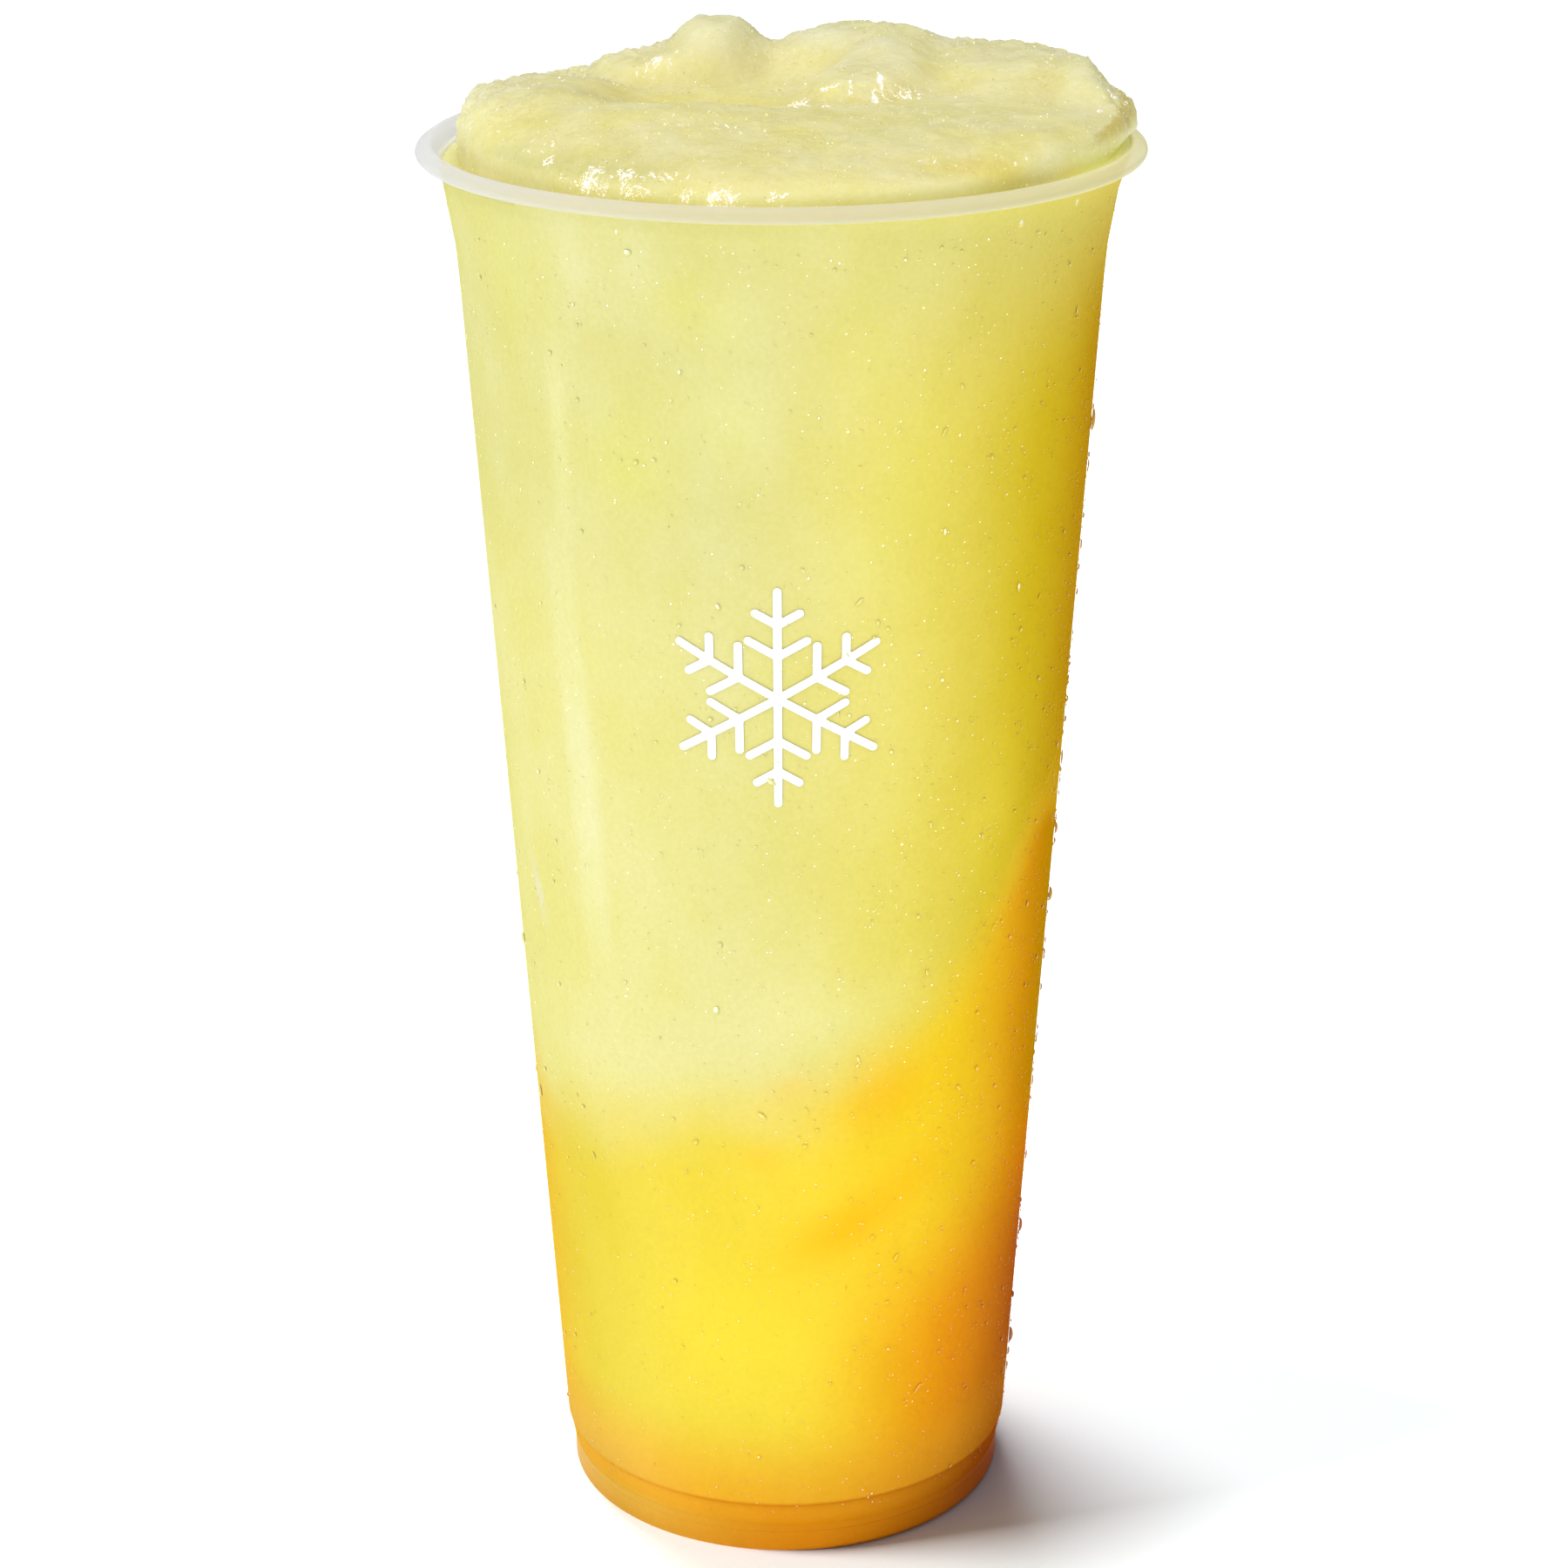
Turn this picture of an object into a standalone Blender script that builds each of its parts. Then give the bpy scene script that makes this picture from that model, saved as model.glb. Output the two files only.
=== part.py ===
"""Tall tapered cup filled with a frozen slush in two layers and heaped above its rim.

The cup stands on the origin with its axis on +Z, and the front of the drink faces -Y.
Dimensions below are in millimetres and are turned into metres where a mesh is made.
"""
import math

import bpy
from mathutils import Vector, noise

MM = 0.001
STEPS = 72
MERGE_DISTANCE = 0.00005
SHARP_ANGLE = 40.0
GAP = 0.3

# Cup
RIM_RADIUS = 45.0
RIM_TOP = 182.6
CROWN_RADIUS = 0.8
CROWN_CENTRE = (43.5, RIM_TOP - CROWN_RADIUS)
CROWN_START = 150
CROWN_END = 60
BEAD_RADIUS = 0.65
BEAD_CENTRE = (RIM_RADIUS - BEAD_RADIUS, 181.42)
WALL = 0.7
FLARE_START = 166.0
SHOULDER_TOP = 12.0
FOOT_RADIUS = 29.05
FOOT_ROUND = 1.0
ROUND_STEPS = 3
FOOT_RING_INNER = 26.6
PANEL_RADIUS = 26.0
PANEL_RECESS = 1.6
FLOOR_RADIUS = 26.6
FLOOR_TOP = 2.4

# Height and outer radius of the wall where its slope changes, from the foot to the rim
LIP_BASE = BEAD_CENTRE[1] - BEAD_RADIUS
FOOT_STATIONS = (
    (4.2, 29.12),
    (5.4, 29.4),
    (7.9, 30.08),
    (SHOULDER_TOP, 30.32),
)
FLARE_STATIONS = (
    (FLARE_START, 40.15),
    (170.0, 40.5),
    (174.0, 41.18),
    (177.0, 41.7),
)
LIP_STATION = (LIP_BASE, 42.36)
WALL_STATIONS = FOOT_STATIONS + FLARE_STATIONS + (LIP_STATION,)

# Turned blanks that the contents are sculpted from: radius of the part that is sculpted
BLANK_RADIUS = 40.0
BLANK_COLLAR = 42.0
NEAR = 0.1

# Boundary between the fruit layer and the slush, on a plan of the given radius
LAYER_SPAN = 33.0
LAYER_LEVEL = 65.0
LAYER_SLOPE = 0.18
TONGUE_HEIGHT = 35.0
TONGUE_ANGLE = -12.0
TONGUE_WIDTH = 37.0
TONGUE_START = 0.45
LAYER_WAVE = 2.2
LAYER_WAVE_SIZE = 17.0
LAYER_WAVE_SEED = 3.7
LAYER_RINGS = (0.0, 0.2, 0.38, 0.54, 0.68, 0.8, 0.9, 1.0)
PROBE_SHARE = 0.02
PROBE_ANGLE = 2.0

# Heap of slush above the rim
HEAP_RINGS = (0.0, 0.08, 0.16, 0.24, 0.32, 0.40, 0.48, 0.56, 0.63, 0.70,
              0.77, 0.83, 0.88, 0.925, 0.96, 0.982, 0.995, 1.0)
PLATEAU = 187.6
OVERHANG = 1.9
OVERHANG_ANGLE = 3.0
OVERHANG_WIDTH = 22.0
OVERHANG_RISE = 0.4
EDGE_STEP = 0.25
CONTACT_BAND = 0.5
RELIEF = 0.35
RELIEF_SIZE = 5.0
RELIEF_SEED = 11.0

# Values to the right, behind, to the left and in front of the heap
CONTACT_HEIGHT = (181.4, 181.0, 180.2, 181.9)
EDGE_RADIUS = (41.5, 41.0, 40.2, 41.7)
EDGE_STEEPNESS = (8.0, 5.0, 6.5, 2.4)

# Each swelling or hollow of the heap: centre x and y, height, reach along x and y, flatness
HEAP_FORMS = (
    (-14.0, -13.0, 1.5, 17.0, 9.0, 2),
    (-31.0, -2.0, 2.3, 11.5, 12.0, 4),
    (-9.0, -2.5, -2.6, 12.0, 3.6, 2),
    (-15.0, 15.0, 3.4, 8.6, 9.5, 6),
    (-7.4, 15.0, 4.2, 6.0, 7.0, 4),
    (7.5, 16.0, 5.6, 13.0, 8.5, 3),
    (11.0, -1.0, 4.4, 7.6, 5.0, 6),
    (3.6, -5.5, 2.6, 4.5, 3.6, 3),
    (30.0, 12.0, 3.6, 15.0, 14.0, 4),
    (37.0, 0.0, 1.6, 4.5, 7.0, 3),
    (22.0, -35.0, -1.6, 13.0, 6.0, 2),
)


def arc(centre, radius, start, end, count):
    """Points on an arc in the profile plane, angles in degrees."""
    points = []
    for i in range(count + 1):
        angle = math.radians(start + (end - start) * i / count)
        points.append((centre[0] + radius * math.cos(angle), centre[1] + radius * math.sin(angle)))
    return points


def inner_stations():
    """Height and radius of the cup's inner face where its slope changes."""
    stations = [(height, radius - WALL) for height, radius in WALL_STATIONS]
    crown_radius, crown_height = arc(CROWN_CENTRE, CROWN_RADIUS, CROWN_START, CROWN_END, 1)[0]
    return stations + [(crown_height, crown_radius)]


def inner_radius(height):
    """Radius of the cup's inner face, straight between the stations."""
    stations = inner_stations()
    for (low, low_radius), (high, high_radius) in zip(stations, stations[1:]):
        if height <= high:
            share = (height - low) / (high - low)
            return low_radius + share * (high_radius - low_radius)
    return stations[-1][1]


def around(angle, values):
    """A value that eases between four compass points, angle in degrees from +X."""
    turn = (angle % 360.0) / 90.0
    index = int(turn) % 4
    share = smooth_step(0.0, 1.0, turn - int(turn))
    return values[index] + share * (values[(index + 1) % 4] - values[index])


def smooth_step(low, high, value):
    """Eases from 0 at low to 1 at high."""
    share = min(max((value - low) / (high - low), 0.0), 1.0)
    return share * share * (3.0 - 2.0 * share)


def angle_between(angle, centre):
    """Signed difference of two angles in degrees, from -180 to 180."""
    return (angle - centre + 180.0) % 360.0 - 180.0


def layer_height(share, angle):
    """Top of the fruit layer: wavy, higher to the right, and drawn up the right-hand wall."""
    x = share * LAYER_SPAN * math.cos(math.radians(angle))
    y = share * LAYER_SPAN * math.sin(math.radians(angle))
    tongue = math.exp(-(angle_between(angle, TONGUE_ANGLE) / TONGUE_WIDTH) ** 2)
    tongue *= smooth_step(TONGUE_START, 1.0, share)
    wave = noise.noise(Vector((x, y, LAYER_WAVE_SEED)) / LAYER_WAVE_SIZE)
    return LAYER_LEVEL + LAYER_SLOPE * x + TONGUE_HEIGHT * tongue + LAYER_WAVE * wave


def layer_steepness(share, angle):
    """Length along the boundary for each millimetre of plan, which keeps the gap even."""
    inner = max(share - PROBE_SHARE, 0.0)
    outer = min(share + PROBE_SHARE, 1.0)
    along = layer_height(outer, angle) - layer_height(inner, angle)
    along /= (outer - inner) * LAYER_SPAN
    across = layer_height(share, angle + PROBE_ANGLE) - layer_height(share, angle - PROBE_ANGLE)
    across /= max(share, LAYER_RINGS[1]) * LAYER_SPAN * math.radians(2.0 * PROBE_ANGLE)
    return math.sqrt(1.0 + along * along + across * across)


def layer_point(share, angle, lift):
    """A point of the boundary, raised by the lift, inside the wall with the gap."""
    height = layer_height(share, angle) + lift
    radius = share * (inner_radius(height) - GAP)
    return radius, height


def heap_top(x, y):
    """Height of the heap away from its edge."""
    height = PLATEAU
    for centre_x, centre_y, rise, reach_x, reach_y, flatness in HEAP_FORMS:
        distance = math.hypot((x - centre_x) / reach_x, (y - centre_y) / reach_y)
        height += rise * math.exp(-distance ** flatness)
    return height + RELIEF * noise.noise(Vector((x, y, RELIEF_SEED)) / RELIEF_SIZE)


def heap_point(share, angle):
    """A point of the heap: steep at both sides and behind, sloping to the rim in front."""
    edge = around(angle, EDGE_RADIUS)
    steepness = around(angle, EDGE_STEEPNESS)
    fall = max(1.0 - share ** steepness, 0.0) ** (1.0 / steepness)
    overhang = OVERHANG * math.exp(-(angle_between(angle, OVERHANG_ANGLE) / OVERHANG_WIDTH) ** 2)
    radius = share * (edge + overhang * smooth_step(0.0, OVERHANG_RISE, fall))
    x = radius * math.cos(math.radians(angle))
    y = radius * math.sin(math.radians(angle))
    base = around(angle, CONTACT_HEIGHT) + EDGE_STEP
    return radius, base + (heap_top(x, y) - base) * fall


def rim_contact(angle):
    """Where the slush meets the inside of the cup."""
    height = around(angle, CONTACT_HEIGHT)
    return inner_radius(height) - GAP, height


def make_material(name, color, roughness):
    """A plain finish for one part."""
    material = bpy.data.materials.new(name)
    material.use_nodes = True
    shader = material.node_tree.nodes["Principled BSDF"]
    shader.inputs["Base Color"].default_value = color
    shader.inputs["Roughness"].default_value = roughness
    shader.inputs["Metallic"].default_value = 0.0
    material.diffuse_color = color
    return material


def turned(name, profile, collection, material):
    """An object turned about Z from a profile of radius and height."""
    mesh = bpy.data.meshes.new(name)
    vertices = [(radius * MM, 0.0, height * MM) for radius, height in profile]
    edges = [(i, i + 1) for i in range(len(profile) - 1)]
    mesh.from_pydata(vertices, edges, [])
    mesh.materials.append(material)
    turned_object = bpy.data.objects.new(name, mesh)
    collection.objects.link(turned_object)
    screw = turned_object.modifiers.new("Turn", "SCREW")
    screw.axis = "Z"
    screw.steps = STEPS
    screw.render_steps = STEPS
    screw.use_merge_vertices = True
    screw.merge_threshold = MERGE_DISTANCE
    depsgraph = bpy.context.evaluated_depsgraph_get()
    made = bpy.data.meshes.new_from_object(turned_object.evaluated_get(depsgraph))
    turned_object.modifiers.clear()
    turned_object.data = made
    shade(made)
    return turned_object


def shade(mesh):
    """Smooth shading that keeps the steps and corners sharp."""
    mesh.shade_smooth()
    mesh.set_sharp_from_angle(angle=math.radians(SHARP_ANGLE))


def sculpt(blank, move):
    """Moves each point of the turned blank by the given rule of radius, height and angle."""
    for vertex in blank.data.vertices:
        radius = math.hypot(vertex.co.x, vertex.co.y) / MM
        direction = math.atan2(vertex.co.y, vertex.co.x)
        new_radius, new_height = move(radius, vertex.co.z / MM, math.degrees(direction))
        place = (new_radius * math.cos(direction), new_radius * math.sin(direction), new_height)
        vertex.co = Vector(place) * MM
    blank.data.update()
    shade(blank.data)


def cup_profile():
    """Section of the cup, from the inner floor up over the rim and down to the base."""
    inside = [(0.0, FLOOR_TOP), (FLOOR_RADIUS, FLOOR_TOP)]
    inside += [(radius - WALL, height) for height, radius in WALL_STATIONS]
    rim = arc(CROWN_CENTRE, CROWN_RADIUS, CROWN_START, CROWN_END, ROUND_STEPS)
    rim += arc(BEAD_CENTRE, BEAD_RADIUS, CROWN_END, -90, 2 * ROUND_STEPS)
    outside = [(radius, height) for height, radius in reversed(WALL_STATIONS)]
    foot = arc((FOOT_RADIUS - FOOT_ROUND, FOOT_ROUND), FOOT_ROUND, 0, -90, ROUND_STEPS)
    base = [(FOOT_RING_INNER, 0.0), (PANEL_RADIUS, PANEL_RECESS), (0.0, PANEL_RECESS)]
    return inside + rim + outside + foot + base


def side_profile(stations):
    """Points down the side of the contents, inside the wall with the gap."""
    return [(inner_radius(height) - GAP, height) for height, radius in reversed(stations)]


def make_cup(collection):
    """The cup: thin tapered wall, rolled rim, stepped foot and recessed base."""
    turned("cup", cup_profile(), collection, make_material("cup", (0.93, 0.93, 0.9, 1.0), 0.25))


def make_fruit_layer(collection):
    """The lower layer: it fills the cup's foot and ends in the uneven boundary."""
    bottom = FLOOR_TOP + GAP
    profile = [(share * BLANK_RADIUS, LAYER_LEVEL) for share in LAYER_RINGS]
    profile += side_profile(FOOT_STATIONS)
    profile += [(FLOOR_RADIUS - GAP, bottom), (0.0, bottom)]
    material = make_material("fruit_layer", (0.93, 0.6, 0.04, 1.0), 0.35)
    blank = turned("fruit_layer", profile, collection, material)

    def move(radius, height, angle):
        if height > LAYER_LEVEL - NEAR:
            return layer_point(radius / BLANK_RADIUS, angle, 0.0)
        return radius, height

    sculpt(blank, move)


def make_slush(collection):
    """The upper slush: it sits on the fruit layer, fills the cup and heaps above the rim."""
    profile = [(share * BLANK_RADIUS, RIM_TOP) for share in HEAP_RINGS]
    profile += [(BLANK_COLLAR, RIM_TOP)]
    profile += side_profile(FLARE_STATIONS + (LIP_STATION,))
    profile += [(share * BLANK_RADIUS, LAYER_LEVEL) for share in reversed(LAYER_RINGS)]
    blank = turned("slush", profile, collection, make_material("slush", (0.8, 0.76, 0.3, 1.0), 0.4))

    def move(radius, height, angle):
        share = radius / BLANK_RADIUS
        if radius > BLANK_COLLAR - NEAR:
            return rim_contact(angle)
        if height > RIM_TOP - NEAR:
            return heap_point(share, angle)
        if height > LIP_BASE - NEAR:
            height = min(LIP_BASE, rim_contact(angle)[1] - CONTACT_BAND)
            return inner_radius(height) - GAP, height
        if height < LAYER_LEVEL + NEAR:
            return layer_point(share, angle, GAP * layer_steepness(share, angle))
        return radius, height

    sculpt(blank, move)


def build():
    """Clears the scene and makes the drink."""
    for old in list(bpy.data.objects):
        bpy.data.objects.remove(old, do_unlink=True)
    collection = bpy.data.collections.new("frozen_slush_drink")
    bpy.context.scene.collection.children.link(collection)
    make_cup(collection)
    make_fruit_layer(collection)
    make_slush(collection)


build()
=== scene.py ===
"""Looks of the frozen slush drink: a clear cup with beads of condensation, pale lemon slush heaped above the rim,
and a golden fruit layer that is drawn up the right-hand wall.

Sizes are in millimetres, turned into metres where a mesh is made. The cup's axis is +Z, and its front faces -Y.
"""

import math

import bpy
import numpy as np
from mathutils import Matrix, Vector, noise
from mathutils.bvhtree import BVHTree


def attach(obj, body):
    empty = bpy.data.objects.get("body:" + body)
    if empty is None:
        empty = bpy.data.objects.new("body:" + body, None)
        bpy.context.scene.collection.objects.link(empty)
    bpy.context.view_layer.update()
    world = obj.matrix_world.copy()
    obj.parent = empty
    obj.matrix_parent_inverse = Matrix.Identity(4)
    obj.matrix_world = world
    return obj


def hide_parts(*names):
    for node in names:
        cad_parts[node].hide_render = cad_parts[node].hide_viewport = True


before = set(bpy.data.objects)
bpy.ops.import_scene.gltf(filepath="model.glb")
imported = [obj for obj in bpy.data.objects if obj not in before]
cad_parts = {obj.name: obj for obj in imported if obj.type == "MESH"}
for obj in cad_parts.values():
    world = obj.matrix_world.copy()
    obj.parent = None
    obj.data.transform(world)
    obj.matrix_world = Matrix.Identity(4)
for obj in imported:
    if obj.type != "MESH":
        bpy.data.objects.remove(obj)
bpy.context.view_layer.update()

MM = 0.001

# Cup, as in the frame
RIM_RADIUS = 45
RIM_TOP = 182.6
CROWN_RADIUS = 0.8
CROWN_CENTRE = (43.5, RIM_TOP - CROWN_RADIUS)
CROWN_START = 150
CROWN_END = 60
BEAD_RADIUS = 0.65
BEAD_CENTRE = (RIM_RADIUS - BEAD_RADIUS, 181.42)
WALL = 0.7
FLARE_START = 166
SHOULDER_TOP = 12
FOOT_RADIUS = 29.05
FOOT_ROUND = 1
FOOT_RING_INNER = 26.6
PANEL_RADIUS = 26
PANEL_RECESS = 1.6
FLOOR_RADIUS = 26.6
FLOOR_TOP = 2.4
FOOT_TINT_TOP = 3
CUP_STEPS = 288

# Height and outer radius of the wall where its slope changes, from the foot to the rim
LIP_BASE = BEAD_CENTRE[1] - BEAD_RADIUS
WALL_STATIONS = (
    (4.2, 29.12),
    (5.4, 29.4),
    (7.9, 30.08),
    (SHOULDER_TOP, 30.32),
    (FLARE_START, 40.15),
    (170, 40.5),
    (174, 41.18),
    (177, 41.7),
    (LIP_BASE, 42.36),
)

# How far the contents reach into the wall, so that no air gap shows: further in the foot, up to the last height
REACH = 0.6
FOOT_REACH = 0.68
FOOT_REACH_TOP = 6

# Heights of the fruit layer's rings below the shoulder, and the rings of its flat bottom: radius and point count
FOOT_HEIGHTS = (10, 8.4, 8.1, 7.9, 7.6, 7.3, 6.6, 5.7, 5.4, 4.9, 4.2, 3.2)
BOTTOM_RINGS = ((FLOOR_RADIUS + REACH, CUP_STEPS), (18, 72), (9, 36))

# Boundary between the fruit layer and the slush, as in the frame
LAYER_SPAN = 33
LAYER_LEVEL = 65
LAYER_SLOPE = 0.18
TONGUE_HEIGHT = 35
TONGUE_ANGLE = -12
TONGUE_WIDTH = 37
TONGUE_START = 0.45
LAYER_WAVE = 2.2
LAYER_WAVE_SIZE = 17
LAYER_WAVE_SEED = 3.7

# Heap of slush, close to the frame's. The tables of four are for +X, +Y, -X and -Y, and each form has its centre,
# rise, half length, half width, flatness and turn.
PLATEAU = 187.6
OVERHANG = 1.7
OVERHANG_ANGLE = 3
OVERHANG_WIDTH = 22
OVERHANG_RISE = 0.4
EDGE_STEP = 0.25
RELIEF = 0.35
RELIEF_SIZE = 5
RELIEF_SEED = 11
CONTACT_HEIGHT = (182, 181, 180.2, 181.9)
CONTACT_SLACK = 0.01
EDGE_RADIUS = (41.7, 41, 39.5, 41.7)
EDGE_STEEPNESS = (7.6, 5, 5.4, 2.4)
HEAP_FORMS = (
    (-14, -16, 1.7, 17, 8, 2, 0),
    (-31, -2, 2.3, 11.5, 12, 4, 0),
    (-10, -5, -2, 13, 4.6, 3, 0),
    (-12.4, 15, 3.4, 11, 9.5, 9, 0),
    (-18.4, 15, -0.8, 3.4, 9, 4, 0),
    (-8.7, 15, 3.5, 5, 7, 4, 0),
    (8.4, 16, 5.9, 10.8, 8.5, 3, 0),
    (10.4, 1.4, 3, 10.4, 6, 5, 50),
    (30, 12, 3.6, 15, 14, 4, 0),
    (39, -1, 2.6, 5, 7.5, 4, 0),
    (22, -35, -1.6, 13, 6, 2, 0),
    (43, 4, -1.7, 4.6, 13, 8, 0),
    (41.2, 10, -1.4, 2.4, 10, 3, 0),
)

# Camera fitted to the rim, the foot and both edges of the wall
CAMERA_PLACE = (0.06, -480, 273.166)
CAMERA_TILT = 0.350777
CAMERA_ROLL = 0.0034688
CAMERA_FOCAL_PIXELS = 4496.4
CAMERA_CLIP = (0.01, 50)
PHOTO_PIXELS = 1800
SENSOR = 36


def ease(low, high, value):
    """Eases from 0 at low to 1 at high."""
    share = np.clip((value - low) / (high - low), 0, 1)
    return share * share * (3 - 2 * share)


def around(angle, values):
    """A value that eases between four compass points, angle in degrees from +X."""
    turn = np.mod(angle, 360) / 90
    index = turn.astype(int) % 4
    share = ease(0, 1, turn - np.floor(turn))
    table = np.array(values)
    return table[index] + share * (table[(index + 1) % 4] - table[index])


def angle_between(angle, centre):
    """Signed difference of two angles in degrees, from -180 to 180."""
    return np.mod(angle - centre + 180, 360) - 180


def polar(radius, turn):
    """Coordinates in a plane of points round its centre, turn in radians."""
    return radius * np.cos(turn), radius * np.sin(turn)


def turned(x, y, turn):
    """Points of a plane, turned by an angle in degrees."""
    cosine, sine = polar(1, np.radians(turn))
    return x * cosine - y * sine, x * sine + y * cosine


def unit(vectors):
    """Vectors of length 1."""
    return vectors / np.linalg.norm(vectors, axis=1)[:, None]


def noise_at(points, size, seed=0):
    """Smooth noise of about -1 to 1 at each point, with features of the given size."""
    return np.array([noise.noise(Vector(p) / size + Vector((seed, seed, seed))) for p in points])


def flat_noise(x, y, level, size):
    """The same at points of a level plane."""
    return noise_at(np.column_stack((x, y, np.full_like(x, level))), size)


def arc(centre, radius, start, end, count):
    """Points on an arc in the profile plane, angles in degrees."""
    across, up = polar(radius, np.radians(np.linspace(start, end, count + 1)))
    return list(zip(centre[0] + across, centre[1] + up))


def inner_radius(height):
    """Radius of the cup's inner face, straight between the stations."""
    crown_radius, crown_height = arc(CROWN_CENTRE, CROWN_RADIUS, CROWN_START, CROWN_END, 1)[0]
    heights, radii = zip(*WALL_STATIONS, (crown_height, crown_radius + WALL))
    return np.interp(height, heights, np.array(radii) - WALL)


def outer_radius(height):
    """Radius of the cup's outer face."""
    return np.interp(height, *zip(*WALL_STATIONS))


def layer_height(share, angle):
    """Top of the fruit layer: wavy, higher to the right, and drawn up the right-hand wall."""
    x, y = polar(share * LAYER_SPAN, np.radians(angle))
    tongue = np.exp(-(angle_between(angle, TONGUE_ANGLE) / TONGUE_WIDTH) ** 2)
    tongue *= ease(TONGUE_START, 1, share)
    wave = LAYER_WAVE * flat_noise(x, y, LAYER_WAVE_SEED, LAYER_WAVE_SIZE)
    return LAYER_LEVEL + LAYER_SLOPE * x + TONGUE_HEIGHT * tongue + wave


def heap_top(x, y):
    """Height of the heap away from its edge."""
    height = np.full_like(x, PLATEAU)
    for centre_x, centre_y, rise, length, width, flatness, turn in HEAP_FORMS:
        along, across = turned(x - centre_x, y - centre_y, -turn)
        height += rise * np.exp(-np.hypot(along / length, across / width) ** flatness)
    return height + RELIEF * flat_noise(x, y, RELIEF_SEED, RELIEF_SIZE)


def heap_point(share, angle):
    """Radius and height of the heap: steep at both sides and behind, sloping to the rim in front."""
    edge = around(angle, EDGE_RADIUS)
    steepness = around(angle, EDGE_STEEPNESS)
    fall = np.maximum(1 - share ** steepness, 0) ** (1 / steepness)
    overhang = OVERHANG * np.exp(-(angle_between(angle, OVERHANG_ANGLE) / OVERHANG_WIDTH) ** 2)
    radius = share * (edge + overhang * ease(0, OVERHANG_RISE, fall))
    x, y = polar(radius, np.radians(angle))
    base = around(angle, CONTACT_HEIGHT) + EDGE_STEP
    return radius, base + (heap_top(x, y) - base) * fall


# Fineness of the meshes: each ring that grows from a centre has eight points more
RING_GROWTH = 8
HEAP_RING_COUNT = 136
HEAP_ANGLES = 720
HEAP_SAMPLES = 260
BOUNDARY_RINGS = 20
SIDE_STEPS = 288
SIDE_RINGS = 44
CROWN_STEPS = 8
BEAD_STEPS = 12
FOOT_STEPS = 8
SHARP_ANGLE = 60


def ring(radius, height, count):
    """Points of a ring, spread evenly from +X; radius and height may change with the angle."""
    return np.column_stack((*polar(radius, np.arange(count) * 2 * math.pi / count), height * np.ones(count)))


def ring_angles(count):
    """Angles in degrees of a ring's points."""
    return np.arange(count) * 360 / count


def heap_rings():
    """Rings of the heap from its top centre out to the wall, evenly spaced along its slope."""
    angle = np.repeat(ring_angles(HEAP_ANGLES), HEAP_SAMPLES)
    share = np.tile(1 - (1 - np.linspace(0, 1, HEAP_SAMPLES)) ** 2, HEAP_ANGLES)
    slope = [values.reshape(HEAP_ANGLES, HEAP_SAMPLES) for values in heap_point(share, angle)]
    contact = around(ring_angles(HEAP_ANGLES), CONTACT_HEIGHT)
    paths = [np.column_stack(pair) for pair in zip(slope, (inner_radius(contact) + REACH, contact))]
    length = np.hypot(*np.diff(paths, axis=2)).cumsum(axis=1)
    length = np.column_stack((np.zeros(HEAP_ANGLES), length))
    steps = np.linspace(0, 1, HEAP_RING_COUNT + 1)
    even = np.array([[np.interp(steps * l[-1], l, v) for l, v in zip(length, path)] for path in paths])
    rings = [np.array([[0, 0, even[1, :, 0].mean()]])]
    for i in range(1, HEAP_RING_COUNT + 1):
        count = RING_GROWTH * i
        place = np.arange(count) * HEAP_ANGLES / count
        first = place.astype(int)
        rest = place - first
        second = (first + 1) % HEAP_ANGLES
        rings.append(ring(*(even[:, first, i] * (1 - rest) + even[:, second, i] * rest), count))
    return rings


def stitch(first, first_count, second, second_count):
    """Faces between two rings of points that are spread evenly from the same angle."""
    if first_count == second_count:
        return [(first + i, second + i, second + (i + 1) % second_count, first + (i + 1) % first_count)
                for i in range(first_count)]
    faces = []
    i = j = 0
    first_turns, second_turns = [count if count > 1 else 0 for count in (first_count, second_count)]
    while i < first_turns or j < second_turns:
        here = first + i % first_count
        there = second + j % second_count
        if j >= second_turns or (i < first_turns and (i + 1) * second_turns <= (j + 1) * first_turns):
            faces.append((here, there, first + (i + 1) % first_count))
            i += 1
        else:
            faces.append((here, there, second + (j + 1) % second_count))
            j += 1
    return faces


def mesh_from_rings(name, rings):
    """A closed mesh through a list of rings, from the middle of its top to the middle of its bottom."""
    faces = []
    start = 0
    for upper, lower in zip(rings, rings[1:]):
        faces += stitch(start, len(upper), start + len(upper), len(lower))
        start += len(upper)
    return mesh_from(name, np.vstack(rings) * MM, faces)


def linked(name, data):
    """A new object in the scene."""
    made = bpy.data.objects.new(name, data)
    bpy.context.scene.collection.objects.link(made)
    return made


def mesh_from(name, points, faces, smooth=True):
    """An object from points in metres and faces."""
    mesh = bpy.data.meshes.new(name)
    mesh.from_pydata(np.asarray(points).tolist(), [], faces)
    if smooth:
        mesh.shade_smooth()
        mesh.set_sharp_from_angle(angle=math.radians(SHARP_ANGLE))
    return linked(name, mesh)


def boundary_rings():
    """Rings of the boundary between the two layers, from its middle out into the wall."""
    rings = []
    for i in range(BOUNDARY_RINGS + 1):
        share = i / BOUNDARY_RINGS
        count = SIDE_STEPS if i == BOUNDARY_RINGS else max(RING_GROWTH * i, 1)
        height = layer_height(np.full(count, share), ring_angles(count))
        rings.append(ring(share * (inner_radius(height) + REACH), height, count))
    return rings


def wall_ring(height, reach=REACH):
    """A ring of the contents inside the wall."""
    return ring(inner_radius(height) + reach, height, SIDE_STEPS)


def side_rings(start, end):
    """Rings inside the wall between two heights, without the first and the last."""
    return [wall_ring(start + (end - start) * i / SIDE_RINGS) for i in range(1, SIDE_RINGS)]


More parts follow.
